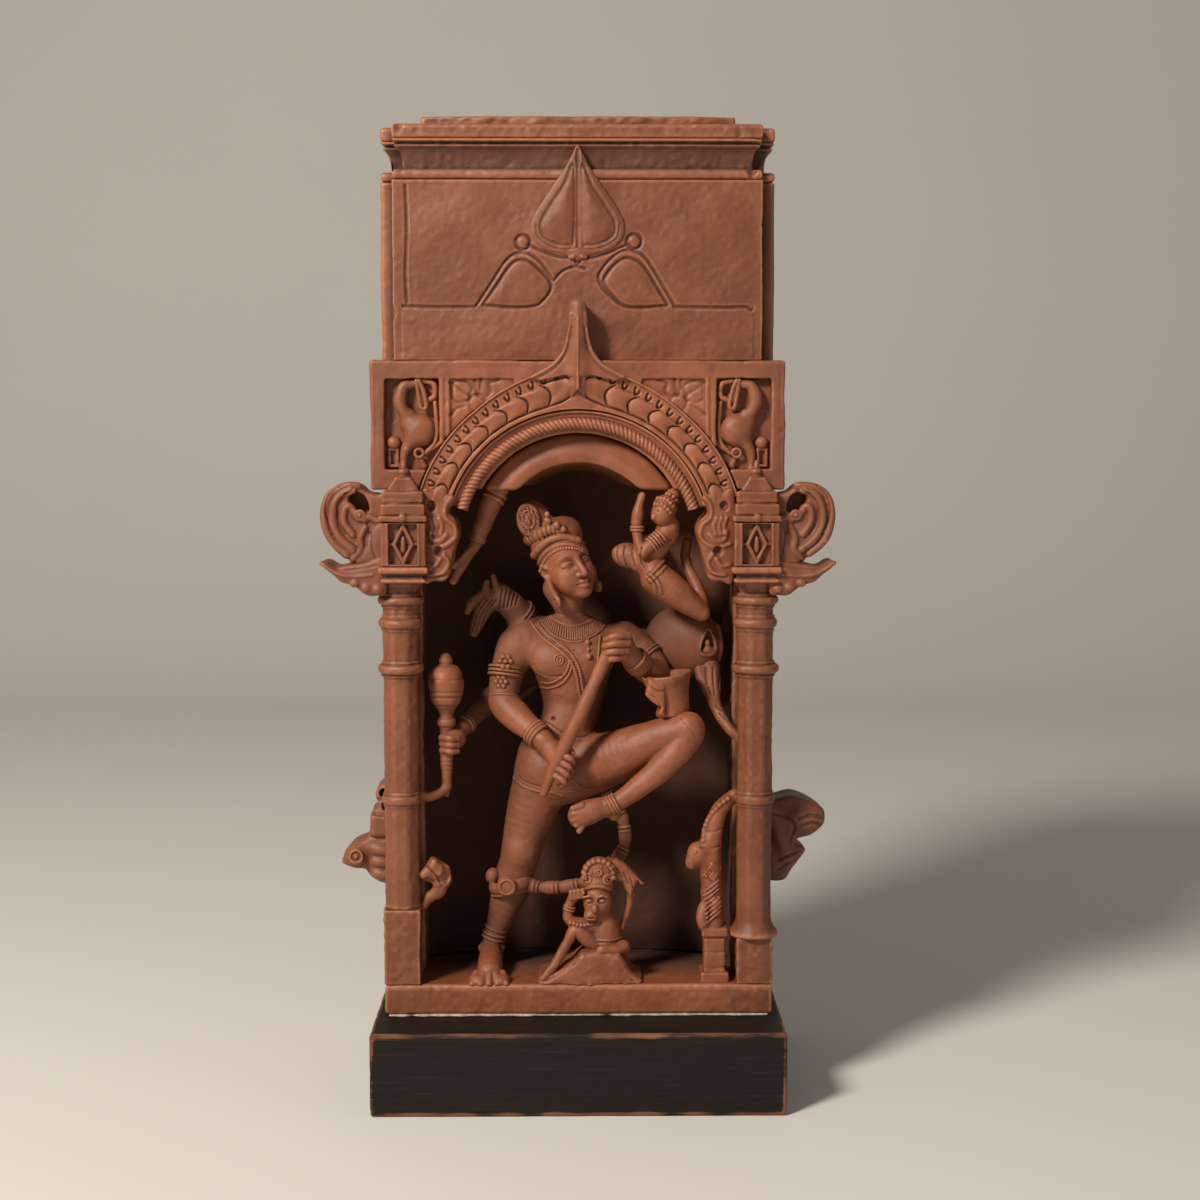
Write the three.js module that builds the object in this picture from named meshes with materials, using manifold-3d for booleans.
// A fired-clay niche relief on a wooden plinth: a figure with one leg raised stands in an arched niche
// between two small columns, under a plain stepped block. Millimetres, +Z up, +Y to the back.
// The origin is the centre of the plinth's underside.

import * as THREE from 'three';
import { mergeVertices } from 'three/addons/utils/BufferGeometryUtils.js';
import Module from 'manifold-3d';

const wasm = await Module();
wasm.setup();

// Driving dimensions: clearances
const seam = 0.3;              // between pieces that rest on or against each other
const sink = 4;                // how far a clay piece is pressed into the one that carries it
const past = 1;                // how far a cutter runs past the face that it cuts

// Driving dimensions: the mount
const plinthWidth = 250;
const plinthDepth = 170;
const plinthHeight = 51;
const plinthChamfer = 1.5;
const beddingThickness = 1.2;
const beddingMargin = 3;       // the bedding stops this far inside the foot slab's edge
const pinDiameter = 8;
const pinLength = 40;
const pinSpacing = 130;
const pinDepthInSlab = 12;
const pinY = 20;

// Driving dimensions: the body of the relief
const slabWidth = 236.8;
const slabHeight = 18.5;
const frontY = -51;            // front face of the foot slab
const backY = 70;              // back face of the relief
const wallOuterX = 113;
const nicheWidth = 192;
const figureHeight = 297;      // of the figure with its headdress; all that stands in the niche follows it
const nicheBackY = 32;         // deepest line of the curved niche wall
const nicheCurveDepth = 20;
const wallFrontY = -22;

// Driving dimensions: columns and what they carry
const columnSpacing = 216;     // between the axes
const columnY = -40;
const shaftRadius = 11.2;
const columnHeight = 247.7;    // from the niche floor to the top of the capital
const leftBaseHeight = 46.5;
const rightBaseHeight = 28.5;
const baseBlockWidth = 23.4;
const abacusHeight = 9.7;
const abacusWidth = 29.5;
const lanternWidth = 27;
const lanternHeight = 26.6;
const lanternFrontY = -60;
const lanternPost = 5.2;
const lanternRecess = 5;
const latticeBar = 2.2;
const roofHeight = 36.5;
const lanternShift = 3.5;      // the left lantern stands this far inside its column's axis

// Driving dimensions: the arch
const archCentreHeight = 270.7; // above the niche floor
const panelHalfWidth = 124;
const panelRise = 33;           // from the arch's centre up to the panel's underside
const panelHeight = 77;
const panelFrontY = -50;
const panelThickness = 26;
const ropeInnerRadius = 69.2;
const ropeRadius = 3.4;
const filletInnerRadius = 78.8; // the raised fillet beside the rope, with a hollow between them
const filletOuterRadius = 80.3;
const scaleInnerRadius = 81;
const scaleOuterRadius = 100.5;
const bandRecess = 6;
const bandProud = 2.5;
const bandSweepUp = 8.2;       // how far the outer edge of the leaf band rises at the crown
const archSpringAngle = 20;    // degrees above level where the two bands end
const hoodRadius = 49;
const hoodLip = 5.5;
const hoodLipFrontY = -40;
const pocketSize = 32.5;       // the square pockets of the spandrels
const pocketDepth = 8;
const pocketEdge = 8.2;        // from the panel's side to the pocket
const pocketTop = 10.7;        // from the panel's top to the pockets
const flowerPocketWidth = 37;
const flowerPocketHeight = 30;
const flowerPocketDepth = 2.5;

// Driving dimensions: the upper block
const blockHalfWidth = 111;
const blockFrontY = -38;
const blockHeight = 107.3;
const blockBackHalfWidth = 119.5;
const blockStepY = -20;
const beadHeight = 6;
const coveHeight = 18;
const filletHeight = 8.4;
const coveDepth = 5;            // how far the hollow of the cornice is cut back
const topCourseHeight = 6.4;
const topCourseHalfWidth = 95;
const incisionWidth = 1.6;      // of the lines drawn in the block's face
const incisionDepth = 1.2;
const budProud = 1.4;           // how far the bud stands out from the block's face
const budTopHeight = 127.5;     // of the bud's tip above the block's underside

// Heights that follow from the dimensions above
const slabBottom = plinthHeight + seam + beddingThickness + seam;
const floor = slabBottom + slabHeight;
const capitalTop = floor + columnHeight;
const lanternBottom = capitalTop + seam + abacusHeight + seam;
const lanternTop = lanternBottom + lanternHeight;
const archCentre = floor + archCentreHeight;
const panelBottom = archCentre + panelRise;
const panelTop = panelBottom + panelHeight;
const blockBottom = panelTop + seam;
const blockTop = blockBottom + blockHeight;
const panelBackY = panelFrontY + panelThickness;
const bandFloorY = panelFrontY + bandRecess;
const columnX = columnSpacing / 2;
const wallInnerX = nicheWidth / 2;
const wallBackY = nicheBackY - nicheCurveDepth;

const terracotta = { color: 0x9a5a40, roughness: 0.78, metalness: 0 };
const ebonised = { color: 0x1c1512, roughness: 0.42, metalness: 0 };
const plaster = { color: 0xb7ab9a, roughness: 0.9, metalness: 0 };
const steel = { color: 0x8d9092, roughness: 0.35, metalness: 1 };

// Solids from geometry, and back

function solidFrom(positions, triangles) {
  const make = (order) => {
    const mesh = new wasm.Mesh({
      numProp: 3,
      vertProperties: new Float32Array(positions),
      triVerts: new Uint32Array(order),
    });
    return new wasm.Manifold(mesh);
  };
  const solid = make(triangles);
  if (solid.volume() > 0) return solid;
  const flipped = [];
  for (let i = 0; i < triangles.length; i += 3) {
    flipped.push(triangles[i], triangles[i + 2], triangles[i + 1]);
  }
  return make(flipped);
}

function solidOf(geometry) {
  const bare = new THREE.BufferGeometry();
  bare.setAttribute('position', geometry.getAttribute('position'));
  bare.setIndex(geometry.getIndex());
  const merged = mergeVertices(bare, 1e-4);
  const index = merged.getIndex().array;
  const triangles = [];
  for (let i = 0; i < index.length; i += 3) {
    const [a, b, c] = [index[i], index[i + 1], index[i + 2]];
    if (a !== b && b !== c && c !== a) triangles.push(a, b, c);
  }
  return solidFrom(merged.getAttribute('position').array, triangles);
}

function geometryOf(solid) {
  const { vertProperties, triVerts } = solid.getMesh();
  const geometry = new THREE.BufferGeometry();
  geometry.setAttribute('position', new THREE.BufferAttribute(new Float32Array(vertProperties), 3));
  geometry.setIndex(new THREE.BufferAttribute(new Uint32Array(triVerts), 1));
  geometry.computeVertexNormals();
  return geometry;
}

// Plain building forms

function block(x0, x1, y0, y1, z0, z1) {
  const box = new THREE.BoxGeometry(x1 - x0, y1 - y0, z1 - z0);
  box.translate((x0 + x1) / 2, (y0 + y1) / 2, (z0 + z1) / 2);
  return solidOf(box);
}

// An outline seen from the front, as [x, z] corners, carried from y0 back to y1
function frontOutline(points, y0, y1) {
  const shape = new THREE.Shape(points.map(([x, z]) => new THREE.Vector2(x, z)));
  const geometry = new THREE.ExtrudeGeometry(shape, { depth: y1 - y0, bevelEnabled: false });
  geometry.rotateX(Math.PI / 2);
  geometry.translate(0, y1, 0);
  return solidOf(geometry);
}

// An anticlockwise outline with each corner moved in by a distance
function insetOutline(dots, by) {
  const count = dots.length;
  return dots.map((dot, k) => {
    const along = dots[(k + 1) % count].clone().sub(dots[(k + count - 1) % count]).normalize();
    return new THREE.Vector2(dot.x - along.y * by, dot.y + along.x * by);
  });
}

// A smooth closed outline through [x, z] points, carried from y0 back to y1, with a softened front edge
function softOutline(points, y0, y1, round, steps = 3) {
  const curve = new THREE.CatmullRomCurve3(points.map(([x, z]) => new THREE.Vector3(x, 0, z)), true);
  const dots = curve.getPoints(points.length * steps).slice(0, -1).map((p) => new THREE.Vector2(p.x, p.z));
  if (THREE.ShapeUtils.isClockWise(dots)) dots.reverse();
  const count = dots.length;
  const layers = [[insetOutline(dots, round), y0], [dots, y0 + round], [dots, y1]];
  const positions = layers.flatMap(([ring, y]) => ring.flatMap((dot) => [dot.x, y, dot.y]));
  const triangles = [];
  for (let layer = 0; layer + 1 < layers.length; layer += 1) {
    for (let k = 0; k < count; k += 1) {
      const [a, b] = [layer * count + k, layer * count + ((k + 1) % count)];
      triangles.push(a, b, b + count, a, b + count, a + count);
    }
  }
  THREE.ShapeUtils.triangulateShape(dots, []).forEach(([a, b, c]) => {
    const back = 2 * count;
    triangles.push(a, c, b, a + back, b + back, c + back);
  });
  return solidFrom(positions, triangles);
}

// A plan outline, as [x, y] corners, carried from z0 up to z1
function planOutline(points, z0, z1) {
  const shape = new THREE.Shape(points.map(([x, y]) => new THREE.Vector2(x, y)));
  const geometry = new THREE.ExtrudeGeometry(shape, { depth: z1 - z0, bevelEnabled: false });
  geometry.translate(0, 0, z0);
  return solidOf(geometry);
}

// A turned form about a vertical axis: the profile is [radius, z] from the bottom to the top
function turned(profile, sides, x, y, turn = 0) {
  const points = [[0, profile[0][1]], ...profile, [0, profile[profile.length - 1][1]]];
  const geometry = new THREE.LatheGeometry(points.map(([r, z]) => new THREE.Vector2(r, z)), sides);
  geometry.rotateX(Math.PI / 2);
  geometry.rotateZ(turn);
  geometry.translate(x, y, 0);
  return solidOf(geometry);
}

// A cylinder along Y, for arches and dishes
function drumAlongY(radius, x, z, y0, y1, sides) {
  const geometry = new THREE.CylinderGeometry(radius, radius, y1 - y0, sides);
  geometry.translate(x, (y0 + y1) / 2, z);
  return solidOf(geometry);
}

function ball([x, y, z], [rx, ry, rz], lean = 0, sides = 10) {
  const geometry = new THREE.SphereGeometry(1, sides, Math.round(sides * 0.66));
  geometry.rotateX(Math.PI / 2);
  geometry.scale(rx, ry, rz);
  geometry.rotateY(lean);
  geometry.translate(x, y, z);
  return solidOf(geometry);
}

// A closed body through rings of points, each ring with the same count
function loft(rings) {
  const count = rings[0].length;
  const positions = rings.flat().flatMap((p) => [p.x, p.y, p.z]);
  const triangles = [];
  const at = (ring, k) => ring * count + (k % count);
  for (let r = 0; r + 1 < rings.length; r += 1) {
    for (let k = 0; k < count; k += 1) {
      triangles.push(at(r, k), at(r, k + 1), at(r + 1, k + 1));
      triangles.push(at(r, k), at(r + 1, k + 1), at(r + 1, k));
    }
  }
  const cap = (ring, backwards) => {
    const centre = positions.length / 3;
    const middle = new THREE.Vector3();
    rings[ring].forEach((p) => middle.addScaledVector(p, 1 / count));
    positions.push(middle.x, middle.y, middle.z);
    for (let k = 0; k < count; k += 1) {
      if (backwards) triangles.push(centre, at(ring, k + 1), at(ring, k));
      else triangles.push(centre, at(ring, k), at(ring, k + 1));
    }
  };
  cap(0, true);
  cap(rings.length - 1, false);
  return solidFrom(positions, triangles);
}

// A limb along a smooth spine of [point, width radius, depth radius], with rounded ends
function limb(stations, sides = 8, stepsPerStation = 2) {
  const spine = new THREE.CatmullRomCurve3(stations.map(([p]) => new THREE.Vector3(...p)));
  const sizes = new THREE.CatmullRomCurve3(stations.map(([, w, d = w]) => new THREE.Vector3(w, d, 0)));
  const steps = (stations.length - 1) * stepsPerStation;
  const depthAxis = new THREE.Vector3(0, 1, 0);
  const rings = [];
  const addRing = (t, along, share) => {
    const tangent = spine.getTangent(t);
    const side = new THREE.Vector3().crossVectors(tangent, depthAxis).normalize();
    const deep = new THREE.Vector3().crossVectors(side, tangent).normalize();
    const size = sizes.getPoint(t);
    const centre = spine.getPoint(t).addScaledVector(tangent, along * Math.min(size.x, size.y));
    rings.push(Array.from({ length: sides }, (_, k) => {
      const angle = (2 * Math.PI * k) / sides;
      return centre.clone()
        .addScaledVector(side, share * size.x * Math.cos(angle))
        .addScaledVector(deep, share * size.y * Math.sin(angle));
    }));
  };
  addRing(0, -0.8, 0.55);
  for (let i = 0; i <= steps; i += 1) addRing(i / steps, 0, 1);
  addRing(1, 0.8, 0.55);
  return loft(rings);
}

// Upright ovals stacked into a trunk: [z, centre x, half width, front y, back y]
function trunk(stations, sides = 16) {
  return loft(stations.map(([z, x, half, front, back]) => Array.from({ length: sides }, (_, k) => {
    const angle = (2 * Math.PI * k) / sides;
    const middle = (front + back) / 2;
    const deep = (back - front) / 2;
    return new THREE.Vector3(x + half * Math.cos(angle), middle + deep * Math.sin(angle), z);
  })));
}

function join(...solids) {
  return solids.reduce((all, one) => all.add(one));
}

// The figures are drawn at their first height, from the middle of the niche floor, and then scaled
const drawnHeight = 297;
const figureScale = figureHeight / drawnHeight;

function inNiche(solid) {
  return solid.scale([figureScale, figureScale, figureScale]).translate([0, 0, floor]);
}

// What hangs under the arch keeps its own size and follows the arch's centre, from this drawn height
const drawnArchHeight = 270.7;

function underArch(solid) {
  return solid.translate([0, 0, archCentre - drawnArchHeight]);
}

// The same solid with every face moved out by a clearance, corners kept sharp
function grown(solid, clearance) {
  const { vertProperties, triVerts } = solid.getMesh();
  const points = [];
  for (let i = 0; i < vertProperties.length; i += 3) {
    points.push(new THREE.Vector3(vertProperties[i], vertProperties[i + 1], vertProperties[i + 2]));
  }
  const normals = points.map(() => []);
  for (let i = 0; i < triVerts.length; i += 3) {
    const corners = [triVerts[i], triVerts[i + 1], triVerts[i + 2]];
    const [a, b, c] = corners.map((k) => points[k]);
    const normal = new THREE.Vector3().crossVectors(b.clone().sub(a), c.clone().sub(a));
    if (normal.lengthSq() < 1e-12) continue;
    normal.normalize();
    corners.forEach((k) => normals[k].push(normal));
  }
  const moved = points.flatMap((point, k) => {
    const step = cornerStep(normals[k], clearance);
    return [point.x + step.x, point.y + step.y, point.z + step.z];
  });
  return solidFrom(moved, triVerts);
}

// The step that brings a corner clear of all its faces, by least squares
function cornerStep(faces, clearance) {
  const hold = 0.02 * Math.max(faces.length, 1);
  const matrix = new THREE.Matrix3().set(hold, 0, 0, 0, hold, 0, 0, 0, hold);
  const m = matrix.elements;
  const sum = new THREE.Vector3();
  faces.forEach((n) => {
    const v = [n.x, n.y, n.z];
    for (let r = 0; r < 3; r += 1) {
      for (let c = 0; c < 3; c += 1) m[c * 3 + r] += v[r] * v[c];
    }
    sum.addScaledVector(n, clearance);
  });
  const step = sum.applyMatrix3(matrix.invert());
  return step.clampLength(0, 3 * clearance);
}

// The model: each new piece is cut back by those already laid, with a seam left between them
const model = new THREE.Group();
const laid = [];

function lay(name, solid, finish = terracotta) {
  let piece = solid;
  laid.forEach((other) => {
    if (!boxesMeet(piece.boundingBox(), other.box)) return;
    other.clearance ??= grown(other.solid, seam).add(other.solid);
    piece = piece.subtract(other.clearance);
  });
  const parts = piece.decompose().sort((a, b) => b.volume() - a.volume());
  piece = parts[0];
  laid.push({ solid: piece, box: grow(piece.boundingBox(), seam) });
  const mesh = new THREE.Mesh(geometryOf(piece), new THREE.MeshStandardMaterial(finish));
  mesh.name = name;
  model.add(mesh);
}

function boxesMeet(a, b) {
  return [0, 1, 2].every((i) => a.min[i] < b.max[i] && b.min[i] < a.max[i]);
}

function grow(box, by) {
  return { min: box.min.map((v) => v - by), max: box.max.map((v) => v + by) };
}

// The wooden plinth, the steel pins and the plaster bed under the relief

function plinth() {
  const shape = new THREE.Shape([
    new THREE.Vector2(-plinthWidth / 2 + plinthChamfer, -plinthDepth / 2 + plinthChamfer),
    new THREE.Vector2(plinthWidth / 2 - plinthChamfer, -plinthDepth / 2 + plinthChamfer),
    new THREE.Vector2(plinthWidth / 2 - plinthChamfer, plinthDepth / 2 - plinthChamfer),
    new THREE.Vector2(-plinthWidth / 2 + plinthChamfer, plinthDepth / 2 - plinthChamfer),
  ]);
  const geometry = new THREE.ExtrudeGeometry(shape, {
    depth: plinthHeight - 2 * plinthChamfer,
    bevelThickness: plinthChamfer, bevelSize: plinthChamfer, bevelSegments: 1,
  });
  geometry.translate(0, 0, plinthChamfer);
  return solidOf(geometry);
}

function pin(x) {
  const top = slabBottom + pinDepthInSlab;
  return turned([[pinDiameter / 2, top - pinLength], [pinDiameter / 2, top]], 12, x, pinY);
}

lay('mounting_pin_left', pin(-pinSpacing / 2), steel);
lay('mounting_pin_right', pin(pinSpacing / 2), steel);
lay('wooden_plinth', plinth(), ebonised);

const beddingHalf = slabWidth / 2 - beddingMargin;
lay('plaster_bedding', block(-beddingHalf, beddingHalf, frontY + beddingMargin, backY - beddingMargin,
  plinthHeight + seam, plinthHeight + seam + beddingThickness), plaster);

// The slabs that make the niche

function backSlab() {
  const wall = block(-wallOuterX, wallOuterX, wallBackY, backY, floor + seam, panelTop);
  const hollow = new THREE.CylinderGeometry(1, 1, panelBottom - floor, 32);
  hollow.rotateX(Math.PI / 2);
  hollow.scale(wallInnerX, nicheCurveDepth, 1);
  hollow.translate(0, wallBackY, (floor + panelBottom) / 2);
  return wall.subtract(solidOf(hollow));
}

function sideWall(side) {
  const [x0, x1] = side < 0 ? [-wallOuterX, -wallInnerX] : [wallInnerX, wallOuterX];
  return block(x0, x1, wallFrontY, wallBackY - seam, floor + seam, panelBottom - seam);
}

lay('foot_slab', block(-slabWidth / 2, slabWidth / 2, frontY, backY, slabBottom, floor));
lay('back_slab', backSlab());
lay('left_side_wall', sideWall(-1));
lay('right_side_wall', sideWall(1));

// The columns

function baseBlock(side, height) {
  const half = baseBlockWidth / 2;
  const x = side * columnX;
  return block(x - half, x + half, columnY - half, columnY + half, floor + seam, floor + height - seam);
}

// One level of a column: round where a moulding stands out, eight-sided on the shaft
function columnRing(side, z, proud) {
  const sides = 16;
  return Array.from({ length: sides }, (_, k) => {
    const angle = (2 * Math.PI * k) / sides;
    const flat = k % 2 === 0 ? Math.cos(Math.PI / 8) : 1;
    const r = proud > 0 ? shaftRadius + proud : shaftRadius * flat;
    return new THREE.Vector3(side * columnX + r * Math.cos(angle), columnY + r * Math.sin(angle), z);
  });
}

function column(side, baseHeight, flared) {
  const bottom = floor + baseHeight;
  const mouldings = [[110, 8, 1.6], [189.5, 9, 3.2], [218, 9, 2.4], [232.5, 7, 3]]; // [rise, height, proud]
  const levels = flared ? [[bottom, 3], [bottom + 3, 3], [bottom + 11, 0]] : [[bottom, 0]];
  mouldings.forEach(([rise, height, proud]) => {
    const z = floor + rise;
    levels.push([z, 0], [z + height * 0.25, proud], [z + height * 0.75, proud], [z + height, 0]);
  });
  levels.push([capitalTop - 2.5, 0], [capitalTop - 2, 1.5], [capitalTop, 1.5]);
  return loft(levels.map(([z, proud]) => columnRing(side, z, proud)));
}

lay('left_column_base', baseBlock(-1, leftBaseHeight));
lay('right_column_base', baseBlock(1, rightBaseHeight));
lay('left_column', column(-1, leftBaseHeight, false));
lay('right_column', column(1, rightBaseHeight, true));

// The lantern-like pavilions on the capitals

const lanternX = { left: -columnX + lanternShift, right: columnX - 1 };
const lanternBackY = wallFrontY - seam;

function abacus(x) {
  const half = abacusWidth / 2;
  const z = capitalTop + seam;
  const middle = z + abacusHeight / 2;
  const lower = block(x - half + 1.5, x + half - 1.5, lanternFrontY + 1, lanternBackY, z, middle);
  const upper = block(x - half, x + half, lanternFrontY - 1.5, lanternBackY, middle, z + abacusHeight);
  return lower.add(upper);
}

// A four-posted body with a sunk diamond lattice on its face
function lantern(x) {
  const half = lanternWidth / 2;
  const body = block(x - half, x + half, lanternFrontY, lanternBackY, lanternBottom, lanternTop);
  const open = half - lanternPost;
  const window = block(x - open, x + open, lanternFrontY - past, lanternFrontY + lanternRecess,
    lanternBottom - past, lanternTop - 1.5);
  const middle = lanternBottom + lanternHeight / 2;
  const tall = lanternHeight / 2;
  const diamond = (w, h) => [[x, middle - h], [x + w, middle], [x, middle + h], [x - w, middle]];
  const y0 = lanternFrontY + 1.5;
  const y1 = lanternFrontY + lanternRecess + 1;
  const inner = 1 - (1.6 * latticeBar) / open;
  const ring = frontOutline(diamond(open + 0.5, tall), y0, y1)
    .subtract(frontOutline(diamond(open * inner, tall * inner), y0 - 1, y1 - 1));
  const stem = block(x - latticeBar / 2, x + latticeBar / 2, y0, y1, lanternBottom, lanternTop - 1.5);
  const bar = block(x - open * 0.6, x + open * 0.6, y0, y1, middle - latticeBar / 2, middle + latticeBar / 2);
  return join(body.subtract(window), ring.intersect(window), stem, bar);
}

// Three stepped eaves under a small turned finial
function lanternRoof(x) {
  const z = lanternTop + seam;
  const steps = [[0, 0.3, 0], [0.3, 0.5, 1], [0.5, 0.72, 5.5]];
  const half = lanternWidth / 2;
  const tiers = steps.map(([from, to, inset]) => frontOutline([
    [x - half - 0.8 + inset, z + from * roofHeight], [x + half + 0.8 - inset, z + from * roofHeight],
    [x + half + 0.8 - inset, z + (from * 0.6 + to * 0.4) * roofHeight],
    [x + half - 2.5 - inset, z + to * roofHeight],
    [x - half + 2.5 + inset, z + to * roofHeight],
    [x - half - 0.8 + inset, z + (from * 0.6 + to * 0.4) * roofHeight],
  ], lanternFrontY - 2 + inset, lanternBackY));
  const top = z + roofHeight;
  const finial = turned([[4, z + roofHeight * 0.65], [4, top - 8], [2.6, top - 6.5], [3.6, top - 4.5],
    [2, top - 1.5], [0.8, top]], 12, x, lanternFrontY + 8);
  return join(...tiers, finial);
}

lay('arch_panel', archPanel());
['left', 'right'].forEach((side) => {
  lay(`${side}_abacus`, abacus(lanternX[side]));
  lay(`${side}_lantern`, lantern(lanternX[side]));
  lay(`${side}_lantern_roof`, lanternRoof(lanternX[side]));
});

// The panel that the arch is cut through, sunk where the bands and the spandrel carvings sit

function archPanel() {
  let panel = block(-panelHalfWidth, panelHalfWidth, panelFrontY, panelBackY, panelBottom, panelTop);
  const front = panelFrontY - past;
  panel = panel.subtract(drumAlongY(ropeInnerRadius - 1, 0, archCentre, front, panelBackY + past, 64));
  panel = panel.subtract(drumAlongY(scaleOuterRadius + 1, 0, archCentre, front, bandFloorY, 80));
  const top = panelTop - pocketTop;
  [-1, 1].forEach((side) => {
    const outer = side * (panelHalfWidth - pocketEdge);
    const inner = outer - side * pocketSize;
    const [x0, x1] = [Math.min(outer, inner), Math.max(outer, inner)];
    panel = panel.subtract(block(x0, x1, front, panelFrontY + pocketDepth, panelBottom + 12, top));
    const near = inner - side * 5;
    const corners = [[near, top], [near - side * flowerPocketWidth, top], [near, top - flowerPocketHeight]];
    panel = panel.subtract(frontOutline(corners, front, panelFrontY + flowerPocketDepth));
  });
  return panel;
}

// A band round the arch: one cross-section, given as [radius, y] points, turned about the arch's axis.
// The relief function moves each point along its radius and towards the front.
function archBand(section, steps, relief) {
  const start = THREE.MathUtils.degToRad(archSpringAngle);
  const sweep = Math.PI - 2 * start;
  const rings = [];
  for (let i = 0; i <= steps; i += 1) {
    const share = i / steps;
    const angle = start + sweep * share;
    rings.push(section.map(([radius, y], k) => {
      const [outward, forward] = relief(share, k);
      const r = radius + outward;
      return new THREE.Vector3(r * Math.cos(angle), y - forward, archCentre + r * Math.sin(angle));
    }));
  }
  return loft(rings);
}

// The rope: a cord whose two strands wind along the arch, and the hollow and fillet that it lies beside
function ropeBand() {
  const strands = 2;
  const ridges = 36;
  const middle = ropeInnerRadius + ropeRadius;
  const ropeY = panelFrontY + 1.6;
  const hollowY = panelFrontY + 2.4;
  const angles = [0, 0.2, 0.4, 0.6, 0.8, 1].map((share) => Math.PI * (1 + share));
  const section = angles.map((angle) => [
    middle + ropeRadius * Math.cos(angle), ropeY + ropeRadius * Math.sin(angle)]);
  section.push([middle + ropeRadius + 0.6, hollowY], [filletInnerRadius - 0.4, hollowY],
    [filletInnerRadius, hollowY - 1.8], [filletOuterRadius, hollowY - 1.8],
    [filletOuterRadius, bandFloorY - seam], [ropeInnerRadius, bandFloorY - seam]);
  return archBand(section, Math.round(ridges * 2.5), (share, k) => {
    if (k >= angles.length) return [0, 0];
    const swell = 0.5 * Math.cos(strands * angles[k] + 2 * Math.PI * ridges * share);
    return [swell * Math.cos(angles[k]), -swell * Math.sin(angles[k])];
  });
}

// The leaf band: a fillet, a row of pillow-shaped leaves and a rimmed margin that sweeps up to the finial
function scaleBand() {
  const leavesPerSide = 7.5;
  const sweepShare = 0.27;
  const leafSwell = 1.9;
  const front = panelFrontY - bandProud;
  const ground = front + 1.9;
  const [inner, outer] = [scaleInnerRadius, scaleOuterRadius];
  const section = [[inner, bandFloorY - seam], [inner, front + 1.4], [inner + 2.6, front + 1.4],
    [inner + 3.2, ground], [inner + 5.4, ground], [outer - 9.4, ground], [outer - 7.2, ground],
    [outer - 1.8, ground - 0.3], [outer - 1, front + 0.6], [outer, front + 0.6], [outer, bandFloorY - seam]];
  const firstOuter = 6;
  return archBand(section, leavesPerSide * 8, (share, k) => {
    const away = Math.abs(2 * share - 1);
    const sweep = k < firstOuter ? 0 : bandSweepUp * Math.exp(-((away / sweepShare) ** 2));
    const phase = (away * leavesPerSide + 0.1) % 1;
    const onLeaf = k === 4 || k === 5;
    return [sweep, onLeaf ? leafSwell * Math.sin(Math.PI * phase) ** 0.6 : 0];
  });
}

// The prow-shaped finial that carries the sweep of the leaf band up to a tip, with a sharp ridge down it
function archFinial() {
  const crown = archCentre + scaleOuterRadius;
  const stations = [[6, 15.5, 5], [10.5, 12.4, 7], [17.5, 8.8, 9], [27.5, 6.8, 9.6], [37.5, 5.4, 8.4],
    [44, 4.2, 6.4]];
  const rings = stations.map(([rise, half, proud]) => {
    const plan = [[-half, panelFrontY], [0, panelFrontY - proud], [half, panelFrontY],
      [half * 0.8, blockFrontY + sink], [-half * 0.8, blockFrontY + sink]];
    return plan.map(([x, y]) => new THREE.Vector3(x, y, crown + rise));
  });
  const bandRadius = scaleOuterRadius + bandSweepUp + seam;
  const band = drumAlongY(bandRadius, 0, archCentre, panelFrontY - 20, panelBackY, 96);
  return loft(rings).subtract(band);
}

lay('upper_block', upperBlock());
lay('arch_finial', archFinial());
lay('arch_rope_band', ropeBand());
lay('arch_scale_band', scaleBand());

// The vault behind the panel, with a rounded lip that stands forward in the arch

function nicheHood() {
  const vault = block(-wallOuterX, wallOuterX, panelBackY + seam, wallBackY - seam, panelBottom, panelTop);
  const lip = drumAlongY(hoodRadius + hoodLip, 0, archCentre, hoodLipFrontY, panelBackY + 1, 48)
    .intersect(block(-wallOuterX, wallOuterX, hoodLipFrontY - 1, panelBackY + 2, panelBottom, panelTop));
  const dish = new THREE.SphereGeometry(1, 32, 16);
  const depth = wallBackY + 8 - hoodLipFrontY;
  dish.scale(hoodRadius, depth, hoodRadius);
  dish.translate(0, hoodLipFrontY, archCentre);
  const bore = drumAlongY(hoodRadius, 0, archCentre, hoodLipFrontY - 1, hoodLipFrontY + 10, 32);
  return join(vault, lip).subtract(solidOf(dish)).subtract(bore);
}

lay('niche_hood', nicheHood());

// The stepped block over the arch, its mouldings and the broken course on top

function stepPlan(inset) {
  const [front, half, backHalf] = [blockFrontY + inset, blockHalfWidth - inset, blockBackHalfWidth - inset];
  const step = blockStepY + inset;
  return [[-half, front], [half, front], [half, step], [backHalf, step], [backHalf, backY - inset],
    [-backHalf, backY - inset], [-backHalf, step], [-half, step]];
}

// The cutter for a line drawn round a closed outline on the block's face
function sunkOutline(points) {
  const dots = points.map(([x, rise]) => new THREE.Vector2(x, blockBottom + rise));
  const [y0, y1] = [blockFrontY - past, blockFrontY + incisionDepth];
  const edge = (by) => insetOutline(dots, by).map((dot) => [dot.x, dot.y]);
  const outer = frontOutline(edge(-incisionWidth / 2), y0, y1);
  return outer.subtract(frontOutline(edge(incisionWidth / 2), y0 - past, y1 + past));
}

function sunkLine(x0, x1, rise) {
  const z = blockBottom + rise;
  const half = incisionWidth / 2;
  return block(x0, x1, blockFrontY - past, blockFrontY + incisionDepth, z - half, z + half);
}

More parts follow.
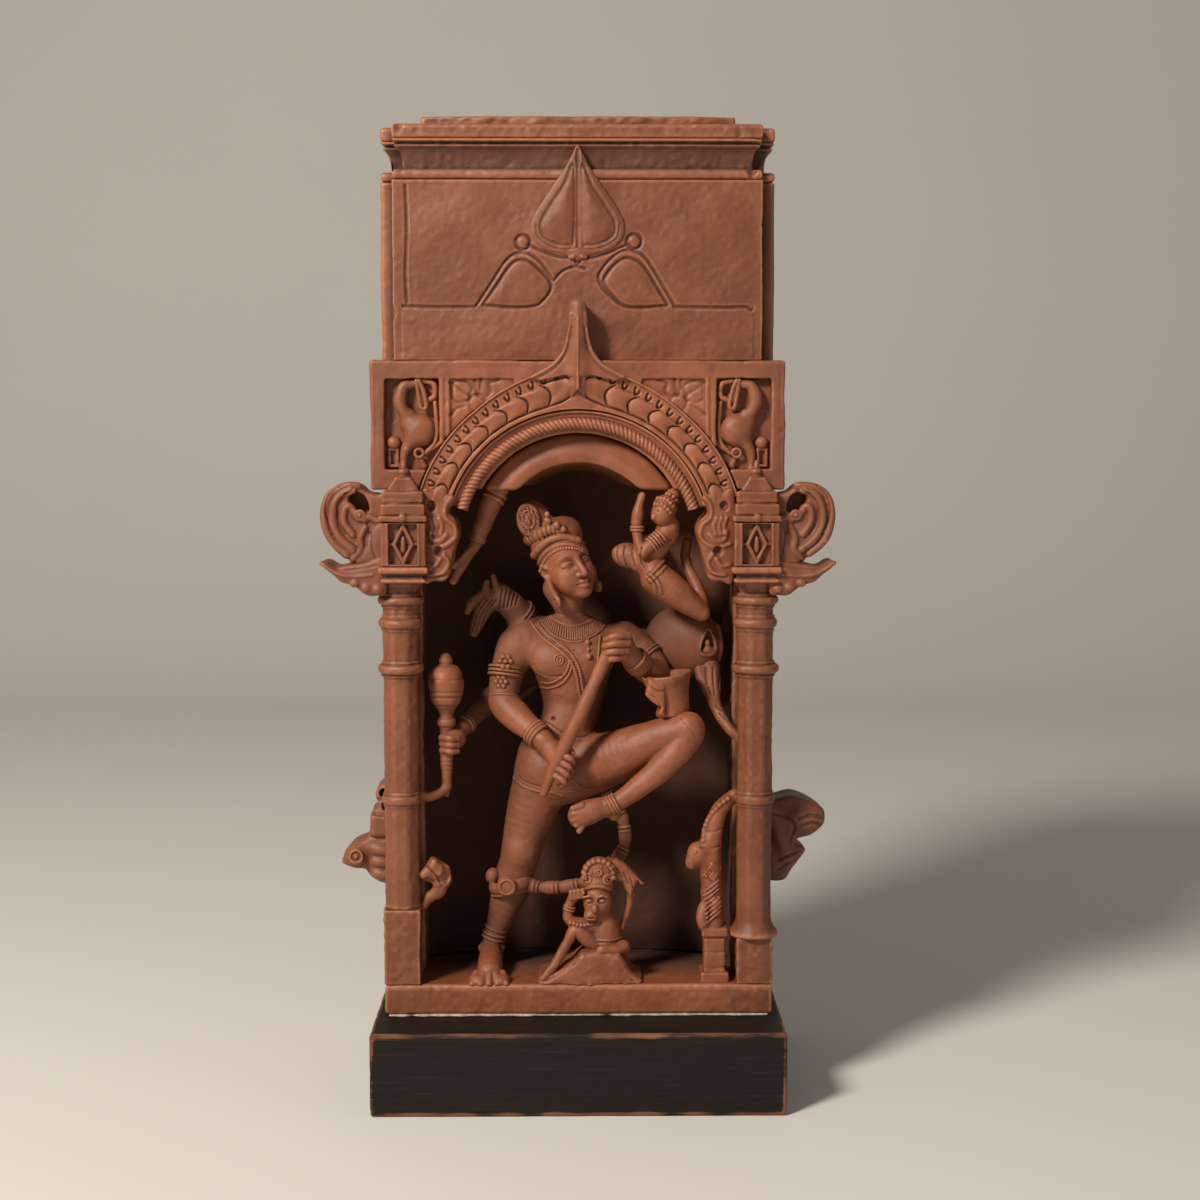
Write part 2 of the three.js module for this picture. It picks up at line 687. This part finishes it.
// Two leaves and a level line are drawn in the face
function upperBlock() {
  const leftLeaf = [[-60, 32], [-25, 32], [-17, 39], [-14, 46], [-20, 55], [-28, 61], [-36, 63], [-43, 61],
    [-50, 50]];
  const rightLeaf = [[57, 32], [49, 46], [42, 60], [35, 63], [26, 61], [18, 54], [13, 47], [16, 38],
    [24, 32]];
  return planOutline(stepPlan(0), blockBottom, blockTop)
    .subtract(sunkOutline(leftLeaf))
    .subtract(sunkOutline(rightLeaf))
    .subtract(sunkLine(-blockHalfWidth + 5, -61, 32))
    .subtract(sunkLine(58, blockHalfWidth - 6, 32));
}

// The pointed bud over the leaves: it stands a little proud and runs up across the cornice
function centreBud() {
  const half = [[0, 0], [6, -10], [14, -23], [22, -35], [28.5, -47], [27, -57], [19, -63], [8, -65.5],
    [0, -68.5]];
  const outline = [...half, ...half.slice(1, -1).reverse().map(([x, z]) => [-x, z])];
  const tip = blockBottom + budTopHeight;
  const front = blockFrontY - budProud;
  const body = softOutline(outline.map(([x, z]) => [x, tip + z]), front, blockFrontY + coveDepth + 2, 1, 1);
  const groove = incisionWidth / 2;
  return body.subtract(block(-groove, groove, front - past, blockFrontY - budProud / 3, tip - 60, tip - 14));
}

// A moulding that follows the block's plan: [how far it stands out, z] from the bottom to the top
function moulding(profile) {
  return loft(profile.map(([out, z]) => stepPlan(-out).map(([x, y]) => new THREE.Vector3(x, y, z))));
}

function lowerCornice() {
  const z = blockTop + seam;
  const cove = z + beadHeight;
  const top = cove + coveHeight;
  const bead = [[-3, z], [-1, z], [0, z + beadHeight * 0.5], [-1, cove]];
  const hollow = [[-coveDepth, cove], [-coveDepth - 1, cove + coveHeight * 0.3],
    [-coveDepth * 0.7, cove + coveHeight * 0.7], [-2, top - 1], [-2, top]];
  return moulding([...bead, ...hollow]);
}

function upperCornice() {
  const z = blockTop + seam + beadHeight + coveHeight + seam;
  return moulding([[-1, z], [0, z + 1], [0, z + filletHeight - 1.5], [-1.5, z + filletHeight]]);
}

function topCourse() {
  const z = blockTop + seam + beadHeight + coveHeight + seam + filletHeight + seam;
  const half = topCourseHalfWidth;
  const edge = [[-half, -26], [-half + 38, -30], [-20, -27], [22, -31], [half - 24, -29], [half, -22],
    [half - 5, 10], [half + 2, 38], [half - 10, 57], [30, 60], [-25, 54], [-half + 12, 59], [-half - 1, 34],
    [-half + 6, 6]];
  return planOutline(edge, z, z + topCourseHeight);
}

lay('lower_cornice', lowerCornice());
lay('upper_cornice', upperCornice());
lay('top_course', topCourse());
lay('centre_bud', centreBud());

// Brackets and scrolls beside the lanterns

const bracketY = [-57, -26];

// [x, z] points measured outwards from a column's axis, on the left or the right
function besideColumn(points, side) {
  const placed = points.map(([x, z]) => [side * (columnX + x), z]);
  return side < 0 ? placed.reverse() : placed;
}

function eave(side) {
  const z = capitalTop;
  const outline = [[8, z - 2], [16, z - 7], [24, z - 2.5], [33, z + 0.5], [39, z + 6], [44.5, z + 10.5],
    [44.5, z + 14], [8, z + 15.5]];
  return frontOutline(besideColumn(outline, side), ...bracketY);
}

function outerScroll(side) {
  const z = lanternBottom;
  const outline = [[4, z + 2], [20, z + 2], [30, z + 4.5], [38, z + 9], [44, z + 17], [46.5, z + 30],
    [44, z + 42], [37, z + 48], [28, z + 49.5], [21, z + 46.5], [12, z + 44], [4, z + 42]];
  const pocket = [[18, z + 34], [26, z + 35], [26.5, z + 42], [21, z + 44]];
  const cut = frontOutline(besideColumn(pocket, side), bracketY[0] - past, bracketY[0] + 12);
  const curl = drumAlongY(8, side * (columnX + 34), z + 33, bracketY[0] - 2, bracketY[0] + 6, 16);
  return softOutline(besideColumn(outline, side), ...bracketY, 3, 2).add(curl).subtract(cut);
}

function innerScroll(side) {
  const z = lanternBottom;
  const outline = [[-14, z - 7], [-28, z - 9], [-31.5, z], [-34, z + 11], [-36.5, z + 20], [-34, z + 28],
    [-30, z + 34], [-35, z + 41], [-28, z + 43], [-14, z + 43]];
  return softOutline(besideColumn(outline, side), bracketY[0] + 2, bracketY[1] + 2, 2.5, 2);
}

[['left', -1], ['right', 1]].forEach(([name, side]) => {
  lay(`${name}_eave`, eave(side));
  lay(`${name}_outer_scroll`, outerScroll(side));
  lay(`${name}_inner_scroll`, innerScroll(side));
});

// Small beasts curled in the square pockets
function spandrelBeast(side) {
  const x = side * (panelHalfWidth - pocketEdge - pocketSize / 2);
  const top = panelTop - pocketTop;
  const y = panelFrontY + pocketDepth - 2;
  const curl = (dx, dz, r, thick) => {
    const ring = new THREE.TorusGeometry(r, thick, 5, 10);
    ring.rotateX(Math.PI / 2);
    ring.translate(x - side * dx, y - 1, top + dz);
    return solidOf(ring);
  };
  const body = ball([x - side * 0.5, y, top - 31], [10.5, 6.5, 12], 0, 8);
  const neck = ball([x - side, y, top - 19], [6, 5.5, 7], 0, 6);
  const feet = ball([x, y, top - 43], [7, 4.5, 6], 0, 6);
  return join(body, curl(-8, -12, 7.5, 3), curl(6.5, -11, 6.5, 2.6), neck, feet);
}

lay('left_spandrel_beast', spandrelBeast(-1));
lay('right_spandrel_beast', spandrelBeast(1));

// Attendants on the outer sides of the walls, behind the columns

function sideAttendant(side) {
  const left = [[-5, 56], [11, 56], [17, 62], [20, 65], [33, 66.5], [36, 70.5], [31, 78], [25, 82], [18, 84],
    [18, 97], [17, 112], [13, 113], [-5, 108]];
  const right = [[-5, 58], [15, 57], [18, 61], [28.5, 74], [29, 77], [23, 80], [25, 83], [34, 86], [41.5, 93],
    [40, 101], [30, 108], [21, 111], [11, 108], [-5, 106]];
  const points = (side < 0 ? left : right).map(([x, z]) => [side * (wallOuterX + x), floor + z]);
  return softOutline(side < 0 ? points.reverse() : points, wallFrontY + 3, wallBackY - 6, 4, 1);
}

lay('left_side_attendant', sideAttendant(-1));
lay('right_side_attendant', sideAttendant(1));

// The standing figure

const intoBack = (nicheBackY + sink) / figureScale;

function torso() {
  return trunk([
    [108, -14, 12, -20, 20],
    [118, -14, 20, -28, intoBack],
    [130, -14, 24.5, -31, intoBack],
    [146, -9, 21.5, -28, intoBack],
    [163, -4, 19.4, -25, intoBack],
    [178, -3.5, 22.5, -29, intoBack],
    [194, -4, 27.5, -33, intoBack],
    [206, -3.5, 35, -28, intoBack - 8],
    [214, -3.5, 36, -22, intoBack - 14],
    [221, -4, 22, -20, 6],
    [226, -5, 11, -20, 2],
  ], 18);
}

function head() {
  const neck = limb([[[-5, -10, 216], 10], [[-5, -14, 230], 9], [[-4, -18, 242], 9]], 10, 1);
  const face = ball([-4, -25, 256], [14.5, 17, 20], 0.12, 10);
  const cap = ball([-13, -20, 272], [17.5, 16, 14.5], -0.7, 9);
  const topknot = ball([-27, -17, 284], [11, 10.5, 13], -0.5, 8);
  const earring = ball([-16, -26, 242], [4.2, 4.2, 5.5], 0, 6);
  return join(neck, face, cap, topknot, earring);
}

function standingLeg() {
  const leg = limb([[[-20, -8, 128], 19, 20], [[-28, -9, 103], 16, 17], [[-35, -12, 77], 12.8, 14],
    [[-42, -11, 56], 11.2, 12.5], [[-50, -9, 30], 8, 9], [[-55, -8, 13], 6.4, 7.5]], 10);
  const foot = limb([[[-55, -3, 8], 7, 8], [[-55, -24, 5.5], 8, 6], [[-55, -41, 3], 9.5, 4]], 8, 1);
  return join(leg, foot);
}

function raisedLeg() {
  const thigh = limb([[[-6, -12, 127], 19, 21], [[22, -26, 136], 18.5, 18], [[46, -36, 149], 16, 15.5],
    [[62, -42, 154], 13.5, 13.5]], 10);
  const shin = limb([[[63, -43, 152], 12.5], [[42, -45, 135], 10.5, 11], [[19, -46, 118], 7.2, 7.5]], 10);
  const foot = limb([[[22, -45, 118], 7, 7], [[9, -47, 112], 7.5, 7], [[-1, -49, 105], 5, 6]], 8, 1);
  return join(thigh, shin, foot);
}

function loweredArm() {
  const arm = limb([[[-36, -10, 208], 12.5, 12.5], [[-44, -14, 191], 11, 11], [[-46, -20, 172], 9.8, 10],
    [[-35, -31, 160], 8.6, 8.6], [[-21, -40, 151], 6.4, 6.6]], 10);
  const hand = limb([[[-20, -41, 150], 7, 6], [[-10, -44, 143], 8.5, 6.5], [[-4, -42, 136], 6, 5]], 8, 1);
  return join(arm, hand);
}

function staffArm() {
  const upper = limb([[[31, -8, 208], 12, 12], [[42, -12, 197], 10.5, 10.5], [[48, -20, 188], 8.5, 9]], 8);
  const fore = limb([[[48, -20, 188], 8.5], [[38, -32, 196], 7.5], [[28, -42, 207], 6.5]], 8);
  const fist = ball([24, -45, 210], [9, 8.5, 9.5], 0, 8);
  return join(upper, fore, fist);
}

lay('standing_leg', inNiche(standingLeg()));
lay('figure_torso', inNiche(torso()));
lay('raised_leg', inNiche(raisedLeg()));
lay('figure_head', inNiche(head()));
lay('lowered_arm', inNiche(loweredArm()));
lay('staff_arm', inNiche(staffArm()));

// The rear arms and what they hold

function sleeveArm() {
  const arm = limb([[[-28, 0, 214], 9, 10], [[-40, -5, 227], 9, 9.5], [[-51, -10, 236], 8, 8]], 8);
  const drape = limb([[[-50, -10, 236], 7], [[-59, -10, 228], 5.5], [[-64, -8, 215], 4, 4.5]], 6, 1);
  const thumb = limb([[[-49, -11, 238], 4, 4], [[-52, -12, 248], 2.2, 2.4]], 6, 1);
  return join(arm, drape, thumb);
}

function maceArm() {
  const arm = limb([[[-22, 8, 190], 9, 9], [[-50, 6, 172], 8, 8], [[-68, -10, 160], 6.5, 6.5]], 8);
  const hand = ball([-77, -24, 148], [10.5, 9, 7.5], 0.2, 8);
  const wrist = limb([[[-66, -8, 160], 6.5, 6.5], [[-76, -22, 150], 6, 6]], 8, 1);
  return join(arm, wrist, hand);
}

function shieldArm() {
  return limb([[[26, 4, 208], 9.5, 10], [[46, 2, 205], 8, 9], [[62, -2, 205], 7, 7]], 8);
}

function mace() {
  const profile = [[1.2, 114], [3.2, 124], [4.3, 132], [4.3, 156], [5.6, 157], [5.6, 161], [4.4, 162],
    [5, 166], [9.5, 173], [11, 180], [10.8, 187], [8.4, 193], [4.6, 195], [4.1, 199], [2.6, 202]];
  const club = turned(profile, 10, -81.5, -26);
  const strut = limb([[[-97, -36, 116], 3.4, 4], [[-88, -30, 115], 3, 3.5], [[-81, -26, 119], 2.6, 3]],
    6, 1);
  return join(club, strut);
}

function staff() {
  return limb([[[19.5, -51, 207], 3.6], [[0, -49, 165], 4.6], [[-19.5, -46, 122], 5.6]], 10, 1);
}

// A shield seen from the side: a shallow dome with a rim, standing on its rear arm
function shield() {
  const radius = 24;
  const profile = [[radius, 0], [radius, 3], [radius * 0.86, 9], [radius * 0.6, 14], [radius * 0.25, 17]];
  const points = [[0, 0], ...profile, [0, 18]].map(([r, z]) => new THREE.Vector2(r, z));
  const dome = new THREE.LatheGeometry(points, 14);
  dome.rotateX(Math.PI);
  dome.rotateZ(-0.45);
  dome.translate(68, -6, 206);
  const stay = limb([[[66, -4, 205], 8], [[66, 14, 206], 8, 8.5], [[66, 30, 208], 9]], 8, 1);
  return solidOf(dome).add(stay);
}

// The bowl on the raised knee, waisted below its flared rim
function bowl() {
  const profile = [[9.5, 0], [8.2, 5], [8.6, 10], [12, 18], [14.5, 26], [12.5, 26], [9, 18], [5, 14]];
  const bottom = 164;
  const points = [[0, 0], ...profile, [0, 13]].map(([r, z]) => new THREE.Vector2(r, z));
  const geometry = new THREE.LatheGeometry(points, 14);
  geometry.rotateX(Math.PI / 2);
  geometry.rotateY(-0.12);
  geometry.translate(58, -37, bottom);
  return solidOf(geometry);
}

function shieldStrut() {
  return limb([[[78, -18, 188], 3.6, 4], [[86, -24, 178], 3.4, 4], [[89, -29, 163], 3, 3.6],
    [[99, -35, 150], 3.4, 4]], 6, 1);
}

lay('sleeve_arm', inNiche(sleeveArm()));
lay('mace', inNiche(mace()));
lay('mace_arm', inNiche(maceArm()));
lay('shield_arm', inNiche(shieldArm()));
lay('staff', inNiche(staff()));
lay('shield', inNiche(shield()));
lay('offering_bowl', inNiche(bowl()));
lay('shield_strut', inNiche(shieldStrut()));

// The flying attendant under the arch, and what is left of its twin on the left

function flyingAttendant() {
  const face = ball([52, -38, 290], [8.5, 8.5, 8.5], 0.6, 8);
  const bun = ball([57.5, -35, 299], [4.2, 4.2, 4.2], 0, 6);
  const body = limb([[[51, -35, 281], 7, 6.5], [[47, -33, 268], 5.6, 5.6], [[46.5, -32, 257], 6.5, 6.5],
    [[54, -34, 246], 9, 9], [[66, -36, 237], 7.5, 8], [[75, -37, 231.5], 5.2, 6]], 8);
  const shin = limb([[[74, -34, 232], 5], [[71, -27, 250], 4, 4.5], [[66.5, -20, 268], 3.2, 3.6]], 6, 1);
  const arm = limb([[[50, -37, 279], 4.2, 4.2], [[38.5, -37, 266], 3.8, 3.8], [[36, -36, 280], 3.4, 3.4],
    [[36.5, -35, 291], 4.2, 3.6], [[39, -35, 300], 2.6, 2.8]], 6, 1);
  const stay = limb([[[50, -32, 258], 5, 5], [[48, 0, 262], 6, 7],
    [[45, nicheBackY, 266], 8, 9]], 8, 1);
  return join(face, bun, body, shin, arm, stay);
}

function brokenLimb() {
  return limb([[[-48, -31, 303], 5, 5], [[-55, -27, 293], 6.4, 6.4], [[-60, -24, 277], 5.6, 5.8],
    [[-68, -24, 262], 3.4, 4], [[-76, -27, 248], 3, 4]], 8, 1);
}

lay('flying_attendant', underArch(flyingAttendant()));
lay('broken_attendant_leg', underArch(brokenLimb()));

// At the figure's feet: the rock, the crouching attendant, the rearing beast and the garland

// Its front is flush with the slab's, and the plan of each ring is a rounded oblong
function rock() {
  const sides = 16;
  const rings = [[-0.5, 7.5, 29, 20.2], [7, 9.5, 24, 18.6], [14, 11.5, 17.5, 16], [20, 13, 12, 12]];
  return loft(rings.map(([z, x, halfWidth, halfDepth]) => Array.from({ length: sides }, (_, k) => {
    const [c, s] = [Math.cos((2 * Math.PI * k) / sides), Math.sin((2 * Math.PI * k) / sides)];
    const reach = (c ** 4 + s ** 4) ** -0.25 * (1 + 0.03 * Math.sin(2 * k + z));
    return new THREE.Vector3(x + halfWidth * reach * c, -30 + halfDepth * reach * s, z);
  })));
}

function crouchingAttendant() {
  const body = ball([16, -34, 25], [11, 10, 15.5], 0, 8);
  const face = ball([12, -38, 48], [9.5, 9.5, 12], 0.15, 8);
  const hair = ball([12, -35, 67], [11, 9, 10.5], 0, 8);
  const locks = limb([[[20, -33, 69], 5, 6], [[32, -30, 64], 5.5, 6], [[34, -29, 50], 3.4, 4]], 6, 1);
  const arm = limb([[[8, -36, 33], 4.2, 4.2], [[-5, -39, 38.5], 3.6, 3.6], [[-5.6, -40, 47], 3, 3.2],
    [[-1.5, -41, 54], 3.8, 3.8]], 6, 1);
  const leg = limb([[[10, -38, 20], 5, 5], [[-1, -41, 31], 3.8, 3.8], [[-10, -43, 19], 3.4, 3.4],
    [[-19, -45, 6], 3, 3]], 6, 1);
  return join(body, face, hair, locks, arm, leg);
}

function rearingBeast() {
  const stand = block(77, 91, -46, -28, -0.5, 28);
  const body = limb([[[84, -37, 26], 7.5, 8.5], [[82.5, -37, 40], 7, 8], [[82, -38, 56], 7, 8],
    [[82, -38, 74], 6.6, 7.5]], 8);
  const face = ball([75, -40, 77], [8, 7.5, 8.5], 0.3, 8);
  const neck = limb([[[82, -38, 76], 6.6, 7], [[82.5, -38, 92], 6.4, 6.8], [[86, -37, 104], 5.4, 6],
    [[97, -36, 114], 4, 5]], 10);
  return join(stand, body, face, neck);
}

// It hangs from the raised leg, passes behind the attendant's head and loops round the standing leg
function garland() {
  const cord = limb([[[-32, -15, 54], 3.2, 3], [[-18, -19, 53], 3.2, 3], [[2, -22, 56], 3.4, 3],
    [[20, -20, 68], 3.2, 3], [[29, -18, 80], 3, 3], [[27, -16, 98], 3, 3], [[16, -14, 116], 3, 3]], 6, 2);
  const loop = new THREE.TorusGeometry(12, 3.2, 6, 16);
  loop.rotateY(0.12);
  loop.translate(-42.5, -11.4, 54);
  return cord.add(solidOf(loop));
}

// It stands out of the left column's inner side
function columnStub() {
  return ball([18.5 - columnX, -39, floor + 64], [9, 7, 12], 0, 10);
}

lay('rock_mound', inNiche(rock()));
lay('rearing_beast', inNiche(rearingBeast()));
lay('crouching_attendant', inNiche(crouchingAttendant()));
lay('long_garland', inNiche(garland()));
lay('column_stub', columnStub());

export default model;
